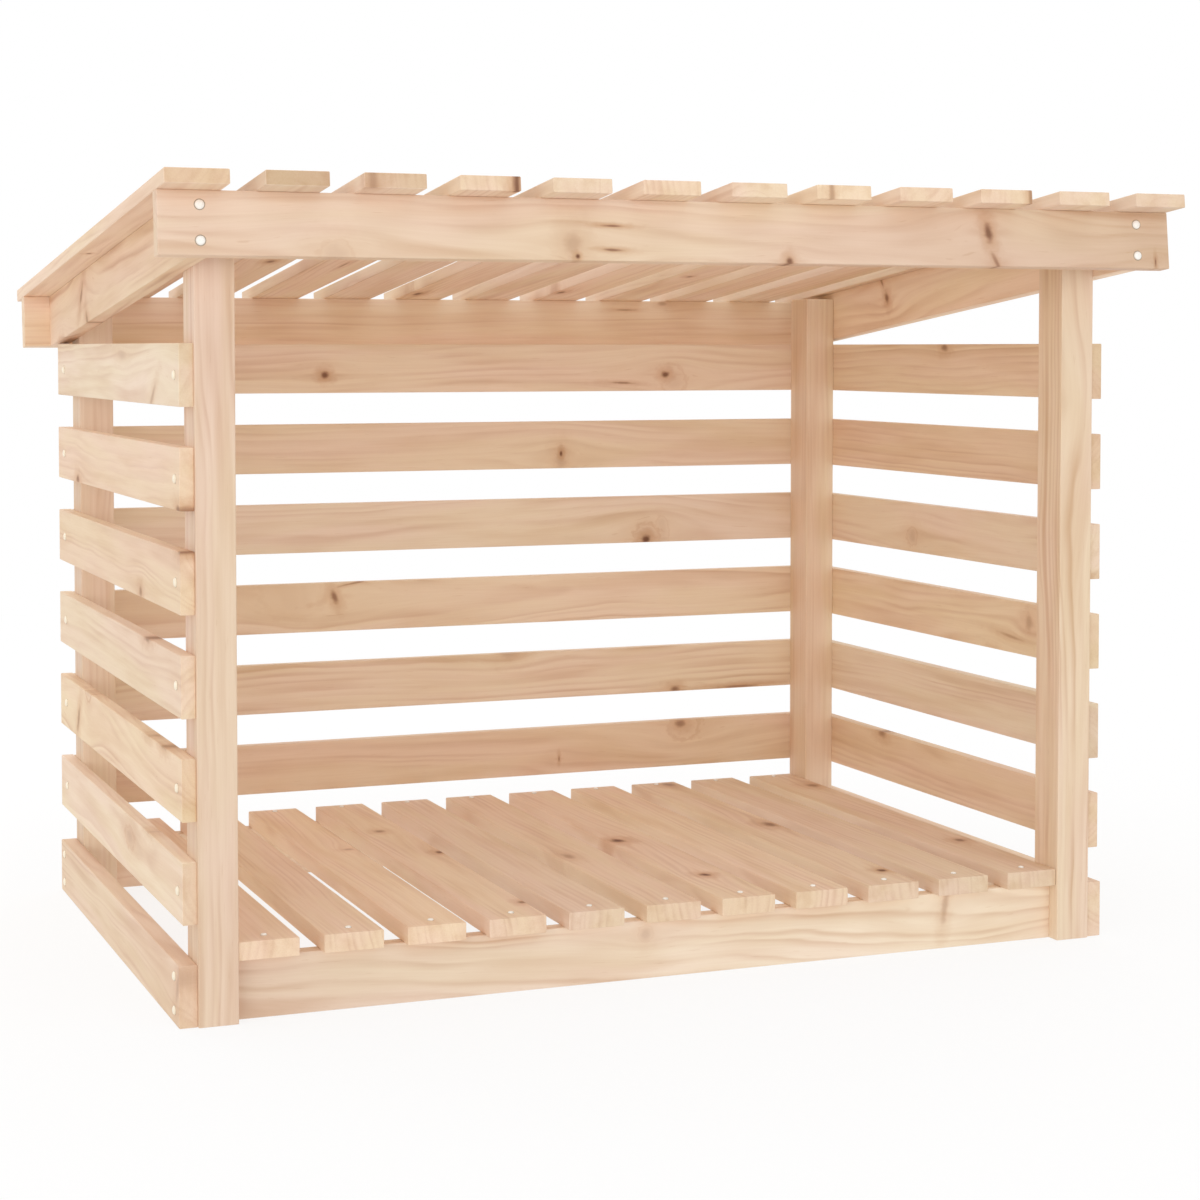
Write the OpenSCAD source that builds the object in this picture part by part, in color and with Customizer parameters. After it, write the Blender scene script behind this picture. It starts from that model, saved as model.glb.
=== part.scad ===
// Log store: an open pine frame with slatted side walls, a slatted back,
// a slatted floor and a slatted roof that falls to the back.
// The ground is z = 0, the open front faces -Y, and the origin lies on the
// ground under the middle of the whole store.

/* [Timber] */
// Width of every board
board_w = 60; // [50:1:72]
// Thickness of the base rails, rafters, roof beams and floor slats
rail_t = 18; // [14:1:24]
// Thickness of the wall slats and roof slats
slat_t = 14; // [10:1:18]
// Width of a post, across the front
post_w = 39; // [32:1:60]
// Depth of a post, from front to back
post_d = 47; // [40:1:60]
// Radius that eases the long edges of every board and post
ease_r = 1; // [0.5:0.5:4]

/* [Frame] */
// Width over the outer faces of the posts
frame_w = 984; // [800:1:1300]
// Depth over the front posts and the rear posts
frame_d = 661; // [450:1:800]

/* [Roof] */
// Height of the roof's front edge above the ground
roof_h = 806; // [650:1:1000]
// Slope of the roof, falling to the back
roof_slope = 6; // [3:0.5:9]
// Reach of the roof slats forward of the front posts
roof_front_reach = 98; // [75:1:140]
// Reach of the roof slats behind the rear posts
roof_rear_reach = 106; // [85:1:150]
// Reach of the roof beams past the outer faces of the rafters
beam_side_reach = 30; // [5:1:60]
// Reach of the roof slats past the face of each roof beam
beam_eave = 34; // [10:1:50]

/* [Walls] */
// Distance that the front ends of the wall boards stand back from the front posts
wall_setback = 4; // [0:1:15]
// Distance that the side wall slats run on past the back wall slats
wall_rear_lap = 4; // [0:1:15]

/* [Floor] */
// Number of floor slats
floor_slat_count = 11; // [8:1:13]
// Distance that the floor slats stop short of the front and rear faces of the posts
floor_setback = 3; // [0:1:15]
// Distance that the front base rail stands back from the front posts
front_rail_setback = 16; // [5:1:25]

/* [Hidden] */
$fn = 32;

// Slats in each wall, counted from the top down
wall_slat_count = 6;
// Slats on the roof, counted from the left
roof_slat_count = 12;
// Clear height left between a post's cut top and the roof slats over it
post_top_clear = 3.5;
// Clear height left between the top wall slats and the rafters over them
wall_top_clear = 0.5;
// Clear width left between the outer floor slats and the posts
floor_side_clear = 0.4;

// Roof: its run on plan, its length down the slope and its width
roof_run = frame_d + roof_front_reach + roof_rear_reach;
roof_l = roof_run / cos(roof_slope);
roof_w = frame_w + 2 * (rail_t + beam_side_reach);
roof_pitch = (roof_w - board_w) / (roof_slat_count - 1);
rafter_l = roof_l - 2 * (beam_eave + rail_t);

// Places from front to back, with the store centred over the origin
roof_front_y = (slat_t * sin(roof_slope) - roof_run) / 2;
frame_front_y = roof_front_y + roof_front_reach;
frame_rear_y = frame_front_y + frame_d;
wall_front_y = frame_front_y + wall_setback;
wall_rear_y = frame_rear_y + slat_t + wall_rear_lap;

// Places across the store
post_outer_x = frame_w / 2;
post_inner_x = post_outer_x - post_w;

// Heights: the walls share one even pitch from the base rails up to the rafters
function roof_under(y) = roof_h - (y - roof_front_y) * tan(roof_slope) - slat_t / cos(roof_slope);
function rafter_under(y) = roof_under(y) - board_w / cos(roof_slope);
wall_top_z = rafter_under(wall_rear_y) - wall_top_clear;
wall_pitch = (wall_top_z - board_w) / wall_slat_count;
function wall_slat_z(row) = wall_top_z - board_w - (row - 1) * wall_pitch;

// Floor slats share the width between the posts
floor_w = 2 * (post_inner_x - floor_side_clear);
floor_pitch = (floor_w - board_w) / (floor_slat_count - 1);

// Colours of planed pine
rail_pine = [0.90, 0.79, 0.66];
slat_pine = [0.91, 0.81, 0.69];
floor_pine = [0.84, 0.70, 0.55];

// Section of a planed board, with its four long edges eased
module eased_section(w, t) {
    translate([ease_r, 0]) square([w - 2 * ease_r, t]);
    translate([0, ease_r]) square([w, t - 2 * ease_r]);
    for (x = [ease_r, w - ease_r], y = [ease_r, t - ease_r])
        translate([x, y]) circle(ease_r);
}

// Board that runs along X, from the origin into +X, +Y and +Z
module board_along_x(l, d, h) {
    rotate([90, 0, 90])
        linear_extrude(l) eased_section(d, h);
}

// Board that runs along Y, from the origin into +X, +Y and +Z
module board_along_y(w, l, h) {
    translate([0, l, 0])
        rotate([90, 0, 0])
            linear_extrude(l) eased_section(w, h);
}

// Puts its children on the roof: y runs down the slope from the front edge, z is out of the roof
module on_roof() {
    translate([0, roof_front_y, roof_h])
        rotate([-roof_slope, 0, 0]) children();
}

// Copies a piece of the left side over to the right side
module on_right() {
    mirror([1, 0, 0]) children();
}

// Left post with its front face at y, sawn square just below the roof slats
module left_post(y) {
    h = roof_under(y + post_d) - post_top_clear;
    color(rail_pine)
        translate([-post_outer_x, y, 0])
            linear_extrude(h) eased_section(post_w, post_d);
}

module front_left_post() left_post(frame_front_y);
module rear_left_post() left_post(frame_rear_y - post_d);
module front_right_post() on_right() front_left_post();
module rear_right_post() on_right() rear_left_post();

// Base rail on edge between two posts, with its front face at y
module cross_base_rail(y) {
    color(rail_pine)
        translate([-post_inner_x, y, 0])
            board_along_x(2 * post_inner_x, rail_t, board_w);
}

module front_base_rail() cross_base_rail(frame_front_y + front_rail_setback);
module rear_base_rail() cross_base_rail(frame_rear_y - rail_t);

// Base rail along the foot of a side wall, on the outer faces of its posts
module left_base_rail() {
    color(rail_pine)
        translate([-post_outer_x - rail_t, wall_front_y, 0])
            board_along_y(rail_t, frame_rear_y - wall_front_y, board_w);
}

module right_base_rail() on_right() left_base_rail();

// Side wall slat, which also covers the ends of the back wall slats
module left_wall_slat(row) {
    color(slat_pine)
        translate([-post_outer_x - slat_t, wall_front_y, wall_slat_z(row)])
            board_along_y(slat_t, wall_rear_y - wall_front_y, board_w);
}

module right_wall_slat(row) on_right() left_wall_slat(row);

// Back wall slat on the rear faces of the rear posts, between the side walls
module back_wall_slat(row) {
    color(slat_pine)
        translate([-post_outer_x, frame_rear_y, wall_slat_z(row)])
            board_along_x(frame_w, slat_t, board_w);
}

// Floor slats laid from front to back on the front and rear base rails
module floor_slats() {
    color(floor_pine)
        for (i = [0:floor_slat_count - 1])
            translate([i * floor_pitch - floor_w / 2, frame_front_y + floor_setback, board_w])
                board_along_y(board_w, frame_d - 2 * floor_setback, rail_t);
}

// Rafter on the outer faces of two posts, cut to run from roof beam to roof beam
module left_rafter() {
    color(rail_pine)
        on_roof()
            translate([-post_outer_x - rail_t, beam_eave + rail_t, -slat_t - board_w])
                board_along_y(rail_t, rafter_l, board_w);
}

module right_rafter() on_right() left_rafter();

// Roof beam across the ends of the rafters, with its front face at a distance down the slope
module roof_beam(down) {
    color(rail_pine)
        on_roof()
            translate([-roof_w / 2, down, -slat_t - board_w])
                board_along_x(roof_w, rail_t, board_w);
}

module front_roof_beam() roof_beam(beam_eave);
module rear_roof_beam() roof_beam(roof_l - beam_eave - rail_t);

// Roof slat laid down the slope over both roof beams
module roof_slat(column) {
    color(slat_pine)
        on_roof()
            translate([(column - 1) * roof_pitch - roof_w / 2, 0, -slat_t])
                board_along_y(board_w, roof_l, slat_t);
}

front_left_post();
front_right_post();
rear_left_post();
rear_right_post();
front_base_rail();
rear_base_rail();
left_base_rail();
right_base_rail();
left_wall_slat(1);  // left_wall_slat_1
left_wall_slat(2);  // left_wall_slat_2
left_wall_slat(3);  // left_wall_slat_3
left_wall_slat(4);  // left_wall_slat_4
left_wall_slat(5);  // left_wall_slat_5
left_wall_slat(6);  // left_wall_slat_6
right_wall_slat(1);  // right_wall_slat_1
right_wall_slat(2);  // right_wall_slat_2
right_wall_slat(3);  // right_wall_slat_3
right_wall_slat(4);  // right_wall_slat_4
right_wall_slat(5);  // right_wall_slat_5
right_wall_slat(6);  // right_wall_slat_6
back_wall_slat(1);  // back_wall_slat_1
back_wall_slat(2);  // back_wall_slat_2
back_wall_slat(3);  // back_wall_slat_3
back_wall_slat(4);  // back_wall_slat_4
back_wall_slat(5);  // back_wall_slat_5
back_wall_slat(6);  // back_wall_slat_6
floor_slats();
left_rafter();
right_rafter();
front_roof_beam();
rear_roof_beam();
roof_slat(1);  // roof_slat_1
roof_slat(2);  // roof_slat_2
roof_slat(3);  // roof_slat_3
roof_slat(4);  // roof_slat_4
roof_slat(5);  // roof_slat_5
roof_slat(6);  // roof_slat_6
roof_slat(7);  // roof_slat_7
roof_slat(8);  // roof_slat_8
roof_slat(9);  // roof_slat_9
roof_slat(10);  // roof_slat_10
roof_slat(11);  // roof_slat_11
roof_slat(12);  // roof_slat_12
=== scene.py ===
"""Looks of the log store: planed pine boards, screw caps, studio and camera.

One Geometry Nodes tree makes every board, with eased edges and its own grain
coordinates, and another makes every row of screw caps. The pine is one solid
wood pattern: growth rings round a pith, bent round the knots of each board.
"""

import logging
import math
import random
from dataclasses import dataclass, replace
from enum import Enum
from typing import Optional, Sequence, Union

import bpy
import numpy as np
from mathutils import Matrix, Vector


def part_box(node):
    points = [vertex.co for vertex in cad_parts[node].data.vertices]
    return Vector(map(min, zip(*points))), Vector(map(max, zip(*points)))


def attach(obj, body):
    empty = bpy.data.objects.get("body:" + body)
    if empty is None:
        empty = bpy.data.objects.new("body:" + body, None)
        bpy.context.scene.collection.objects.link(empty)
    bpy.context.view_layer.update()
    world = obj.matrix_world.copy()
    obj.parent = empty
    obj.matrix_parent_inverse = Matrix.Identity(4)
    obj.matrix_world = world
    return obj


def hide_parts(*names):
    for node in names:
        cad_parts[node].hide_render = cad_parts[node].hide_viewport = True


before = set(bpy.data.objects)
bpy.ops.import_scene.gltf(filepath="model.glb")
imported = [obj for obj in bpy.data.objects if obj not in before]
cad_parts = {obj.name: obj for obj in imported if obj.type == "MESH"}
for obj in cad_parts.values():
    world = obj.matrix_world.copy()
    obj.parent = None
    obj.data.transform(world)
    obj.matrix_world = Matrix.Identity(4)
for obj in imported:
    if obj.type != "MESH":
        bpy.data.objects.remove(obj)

LOG = logging.getLogger("log_store")

MM = 0.001
BOARD_WIDTH = 60 * MM
RAIL_THICKNESS = 18 * MM
SLAT_THICKNESS = 14 * MM
EASE = 1.0 * MM
END_EASE = 0.4 * MM
ROOF_SLOPE = math.radians(6.0)
# Powers of red, green and blue that the painted light and shade along a board is raised to, so that
# painted shade is also warmer
PAINTED_END_SHADE_POWERS = (1.0, 1.4, 1.7)
BODY = "root"

FLOOR_SLAT_COUNT = 11
ROOF_SLAT_COUNT = 12
# Caps come in twos, at a board's two ends or one over the other
PAIR = 2

# The screen's curve: a straight start, then a power
FULL_LEVEL = 255
CURVE_START = 0.04045
START_SLOPE = 12.92
CURVE_LIFT = 0.055
CURVE_POWER = 2.4

Colour = tuple[float, float, float, float]
Tint = tuple[float, float, float]
Socket = bpy.types.NodeSocket
Feed = Union[Socket, float, int, str, Sequence[float]]

WHITE: Colour = (1.0, 1.0, 1.0, 1.0)


def on_screen(red: int, green: int, blue: int) -> Colour:
    """Turns a colour as it looks on a screen into the shader's linear colour.

    Args:
        red: Red, from 0 to 255.
        green: Green, from 0 to 255.
        blue: Blue, from 0 to 255.

    Returns:
        The linear colour with full alpha.
    """
    shares = []
    for level in (red, green, blue):
        share = level / FULL_LEVEL
        if share <= CURVE_START:
            shares.append(share / START_SLOPE)
        else:
            shares.append(((share + CURVE_LIFT) / (1 + CURVE_LIFT)) ** CURVE_POWER)
    return (shares[0], shares[1], shares[2], 1.0)


class Side(Enum):
    """The two sides of the store, with the direction that each faces."""

    LEFT = -1
    RIGHT = 1

    def word(self) -> str:
        """Gives the side's word as the nodes' names use it."""
        return self.name.lower()

    def outward(self) -> Vector:
        """Gives the direction that faces away from the store."""
        return Vector((float(self.value), 0.0, 0.0))


class Slot(Enum):
    """The record's material slots."""

    FRAME = "frame_pine"
    SLATS = "slat_pine"
    FLOOR = "floor_pine"


class Cut(Enum):
    """How a board was sawn, as the distance of the pith from its middle in millimetres.

    The first number runs across the board's width, the second through its thickness.
    """

    HEART = (9.0, 30.0)
    FLAT = (30.0, 36.0)
    RIFT = (52.0, 40.0)
    QUARTER = (110.0, 14.0)


class Lay(Enum):
    """How a board lies in the store."""

    ACROSS_ON_EDGE = "across the store on edge"
    BACKWARD_ON_EDGE = "front to back on edge"
    BACKWARD_FLAT = "front to back, flat"
    UPRIGHT = "upright"
    DOWN_ROOF_FLAT = "down the roof, flat"
    DOWN_ROOF_ON_EDGE = "down the roof on edge"
    ACROSS_ROOF_ON_EDGE = "across the roof on edge"

    def axes(self) -> tuple[Vector, Vector, Vector]:
        """Gives the board's own directions in the store.

        Returns:
            The directions of its width, its thickness and its length.
        """
        right = Vector((1.0, 0.0, 0.0))
        back = Vector((0.0, 1.0, 0.0))
        up = Vector((0.0, 0.0, 1.0))
        fall = Vector((0.0, math.cos(ROOF_SLOPE), -math.sin(ROOF_SLOPE)))
        rise = Vector((0.0, math.sin(ROOF_SLOPE), math.cos(ROOF_SLOPE)))
        found = {
            Lay.ACROSS_ON_EDGE: (up, -back, right),
            Lay.BACKWARD_ON_EDGE: (up, right, back),
            Lay.BACKWARD_FLAT: (right, -up, back),
            Lay.UPRIGHT: (right, back, up),
            Lay.DOWN_ROOF_FLAT: (right, -rise, fall),
            Lay.DOWN_ROOF_ON_EDGE: (rise, right, fall),
            Lay.ACROSS_ROOF_ON_EDGE: (rise, -fall, right),
        }
        return found[self]

    def turn(self) -> Vector:
        """Works out the turn that takes an upright board into this lay.

        Returns:
            The turn as Euler angles.
        """
        width, thickness, length = self.axes()
        turned = Matrix((width, thickness, length)).transposed()
        return Vector(turned.to_euler())

    def length(self, node: str) -> float:
        """Works a board's length out of its node's box.

        Args:
            node: Name of the board's CAD node.

        Returns:
            The length in metres.
        """
        low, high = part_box(node)
        size = high - low
        if self in (Lay.ACROSS_ON_EDGE, Lay.ACROSS_ROOF_ON_EDGE):
            return size.x
        if self is Lay.UPRIGHT:
            return size.z
        if self is Lay.DOWN_ROOF_FLAT:
            return (size.y - SLAT_THICKNESS * math.sin(ROOF_SLOPE)) / math.cos(ROOF_SLOPE)
        if self is Lay.DOWN_ROOF_ON_EDGE:
            return (size.y - BOARD_WIDTH * math.sin(ROOF_SLOPE)) / math.cos(ROOF_SLOPE)
        return size.y


def middle(node: str) -> Vector:
    """Gives the middle of a CAD node's box.

    Args:
        node: Name of the CAD node.

    Returns:
        The middle in metres.
    """
    low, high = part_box(node)
    return (low + high) / 2


@dataclass(frozen=True)
class Knot:
    """A knot, in millimetres from the middle of its board's wide face.

    The stretch makes it longer along the grain, or a spike across it where it is
    below 1. The lean slants a spike, the shade is how dark its wood is and the rim
    how dark the ring round it is.
    """

    along: float
    across: float
    radius: float
    stretch: float = 1.3
    lean: float = 0.0
    shade: float = 0.75
    rim: float = 0.0


@dataclass(frozen=True)
class Grain:
    """One board's own figure: its cut, its tint, its knots and how its rings show.

    The hand is the side of the board that the pith lies on, across and through it.
    The ring is the usual width of a year's growth in millimetres, bold is how
    strongly the years show and wave is how far they wander. The fade is painted light
    and shade: how much lighter or darker the board's two ends are painted than its
    middle. Dim is how dark its sawn ends are.
    """

    cut: Cut = Cut.FLAT
    hand: tuple[int, int] = (1, 1)
    tint: Tint = (1.0, 1.0, 1.0)
    knots: tuple[Knot, ...] = ()
    ring: float = 7.5
    bold: float = 1.0
    wave: float = 1.0
    # Painted light and shade at the board's two ends, as what its tint is multiplied by there
    fade: tuple[float, float] = (1.0, 1.0)
    dim: float = 0.0

    def knotted(self, *knots: Knot) -> "Grain":
        """Gives the same figure with these knots."""
        return replace(self, knots=knots)

    def lighter(self, share: float) -> "Grain":
        """Gives the same figure with another depth of tint.

        Args:
            share: What the tint is multiplied by.

        Returns:
            The figure.
        """
        red, green, blue = self.tint
        return replace(self, tint=(red * share, green * share, blue * share))


class Net:
    """Writes the nodes of one tree."""

    def __init__(self, tree: bpy.types.NodeTree) -> None:
        """Takes a tree and empties it."""
        self.tree = tree
        tree.nodes.clear()

    def feed(self, socket: Socket, value: Feed) -> None:
        """Links a socket to an output, or sets its own value.

        Args:
            socket: The input to feed.
            value: An output socket, or a plain value.
        """
        if isinstance(value, Socket):
            self.tree.links.new(value, socket)
        else:
            socket.default_value = value

    def node(
        self,
        kind: str,
        feeds: Optional[dict[Union[str, int], Feed]] = None,
        **settings: object,
    ) -> bpy.types.Node:
        """Adds one node.

        Args:
            kind: The node's type.
            feeds: What goes into its inputs, by name or place.
            settings: Its own properties.

        Returns:
            The new node.
        """
        made = self.tree.nodes.new(kind)
        for key, value in settings.items():
            setattr(made, key, value)
        for key, value in (feeds or {}).items():
            self.feed(made.inputs[key], value)
        return made

    def math(self, operation: str, *values: Feed) -> Socket:
        """Adds a Math node and gives its result."""
        feeds = dict(enumerate(values))
        return self.node("ShaderNodeMath", feeds, operation=operation).outputs[0]

    def vector(self, operation: str, *values: Feed) -> Socket:
        """Adds a Vector Math node and gives its vector."""
        feeds = dict(enumerate(values))
        return self.node("ShaderNodeVectorMath", feeds, operation=operation).outputs["Vector"]

    def length(self, vector: Feed) -> Socket:
        """Gives a vector's length."""
        return self.node("ShaderNodeVectorMath", {0: vector}, operation="LENGTH").outputs["Value"]

    def combine(self, x: Feed, y: Feed, z: Feed) -> Socket:
        """Joins three numbers into a vector."""
        return self.node("ShaderNodeCombineXYZ", {0: x, 1: y, 2: z}).outputs[0]

    def split(self, vector: Feed) -> tuple[Socket, ...]:
        """Splits a vector into its three numbers."""
        return tuple(self.node("ShaderNodeSeparateXYZ", {0: vector}).outputs)

    def ramp(
        self, value: Feed, start: float, end: float, low: Feed = 0.0, high: Feed = 1.0
    ) -> Socket:
        """Eases a value from one range into another.

        Args:
            value: What is read.
            start: Where the change starts.
            end: Where the change ends.
            low: Result at the start.
            high: Result at the end.

        Returns:
            The eased result.
        """
        feeds = {0: value, 1: start, 2: end, 3: low, 4: high}
        made = self.node("ShaderNodeMapRange", feeds, interpolation_type="SMOOTHSTEP")
        return made.outputs[0]

    def blend(self, share: Feed, first: Feed, second: Feed, way: str = "MIX") -> Socket:
        """Blends two colours.

        Args:
            share: How much of the second colour is used.
            first: The first colour.
            second: The second colour.
            way: Blender's name for the way of blending.

        Returns:
            The blended colour.
        """
        feeds = {0: share, 6: first, 7: second}
        made = self.node("ShaderNodeMix", feeds, data_type="RGBA", blend_type=way)
        return made.outputs[2]

    def noise(
        self,
        place: Feed,
        scale: Sequence[float],
        detail: float = 2.0,
        rough: float = 0.5,
        output: str = "Fac",
    ) -> Socket:
        """Adds a noise.

        Args:
            place: Where it is read.
            scale: Its cells to the metre, in each of the place's three directions.
            detail: Number of its finer layers.
            rough: How strong the finer layers are.
            output: Blender's name for the output that is wanted.

        Returns:
            That output, a single number unless asked otherwise.
        """
        stretched = self.vector("MULTIPLY", place, scale)
        feeds = {"Vector": stretched, "Scale": 1.0, "Detail": detail, "Roughness": rough}
        return self.node("ShaderNodeTexNoise", feeds, noise_dimensions="3D").outputs[output]

    def attribute(self, name: str) -> bpy.types.Node:
        """Reads one of the mesh's own attributes."""
        return self.node("ShaderNodeAttribute", attribute_type="GEOMETRY", attribute_name=name)


class KnotField:
    """A shader group that bends the grain round one knot and marks the knot's own wood.

    The spans are distances from the knot's middle, in knot radii.
    """

    # How much longer than wide the bend in the grain is, and its reach in knot radii
    LENS = 2.6
    SWAY = 1.8
    # A smaller radius means that there is no knot
    LEAST_RADIUS = 0.2 * MM
    # The least that is divided by
    LEAST_REACH = 0.01 * MM
    LEAST_STRETCH = 0.05
    # The distance from a knot is multiplied by the base plus a noise's share of the span
    RUFFLE_BASE = 0.55
    RUFFLE_SPAN = 0.9
    CORE_SPAN = (0.2, 1.15)
    RIM_RISE = (0.72, 0.96)
    RIM_FALL = (0.98, 1.35)
    HALO_SPAN = (0.7, 3.0)
    HALO_STRENGTH = 0.8
    TAIL_SPAN = (0.6, 6.0)
    TAIL_WIDTH = (0.05, 0.5)
    TAIL_STRENGTH = 0.5

    def __init__(self) -> None:
        """Builds the group."""
        self.tree = bpy.data.node_groups.new("grain_round_a_knot", "ShaderNodeTree")
        net = Net(self.tree)
        face = self.tree.interface
        for name, kind in (
            ("Along", "Float"),
            ("Across", "Float"),
            ("Knot", "Vector"),
            ("Form", "Vector"),
            ("Rim", "Float"),
            ("Ruffle", "Float"),
        ):
            face.new_socket(name, in_out="INPUT", socket_type=f"NodeSocket{kind}")
        for name in ("Across", "Core", "Halo"):
            face.new_socket(name, in_out="OUTPUT", socket_type="NodeSocketFloat")
        given = net.node("NodeGroupInput").outputs
        knot_along, knot_across, radius = net.split(given["Knot"])
        stretch, lean, shade = net.split(given["Form"])
        reach = net.math("MAXIMUM", radius, self.LEAST_REACH)
        off_across = net.math("SUBTRACT", given["Across"], knot_across)
        straight = net.math("SUBTRACT", given["Along"], knot_along)
        slant = net.math("MULTIPLY", off_across, lean)
        off_along = net.math("SUBTRACT", straight, slant)
        squared = net.math("MULTIPLY", off_across, off_across)

        far_along = net.math("DIVIDE", off_along, self.LENS)
        far = net.math("ADD", net.math("MULTIPLY", far_along, far_along), squared)
        swaying = net.math("POWER", net.math("MULTIPLY", reach, self.SWAY), 2.0)
        share = net.math("DIVIDE", far, net.math("ADD", far, swaying))
        bent = net.math("MULTIPLY_ADD", off_across, share, knot_across)

        long = net.math("MAXIMUM", stretch, self.LEAST_STRETCH)
        near_along = net.math("DIVIDE", off_along, long)
        near = net.math("ADD", net.math("MULTIPLY", near_along, near_along), squared)
        smooth = net.math("DIVIDE", net.math("SQRT", near), reach)
        ruffled = net.math("MULTIPLY_ADD", given["Ruffle"], self.RUFFLE_SPAN, self.RUFFLE_BASE)
        out = net.math("MULTIPLY", smooth, ruffled)
        real = net.math("GREATER_THAN", radius, self.LEAST_RADIUS)
        dark = net.math("MULTIPLY", shade, real)
        core = net.math("MULTIPLY", net.ramp(out, *self.CORE_SPAN, 1.0, 0.0), dark)
        inner = net.ramp(out, *self.RIM_RISE, 0.0, 1.0)
        outer = net.ramp(out, *self.RIM_FALL, 1.0, 0.0)
        edge = net.math("MULTIPLY", inner, outer)
        rim = net.math("MULTIPLY", net.math("MULTIPLY", edge, given["Rim"]), real)

        tail_along = net.math("DIVIDE", net.math("ABSOLUTE", near_along), reach)
        tail_across = net.math("DIVIDE", net.math("ABSOLUTE", off_across), reach)
        fading = net.ramp(tail_along, *self.TAIL_SPAN, self.TAIL_STRENGTH, 0.0)
        thin = net.ramp(tail_across, *self.TAIL_WIDTH, 1.0, 0.0)
        tail = net.math("MULTIPLY", fading, thin)
        glow = net.ramp(out, *self.HALO_SPAN, self.HALO_STRENGTH, 0.0)
        halo = net.math("MAXIMUM", glow, tail)
        shaded = net.math("MAXIMUM", net.math("MULTIPLY", halo, dark), rim)
        net.node("NodeGroupOutput", {"Across": bent, "Core": core, "Halo": shaded})


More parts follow.
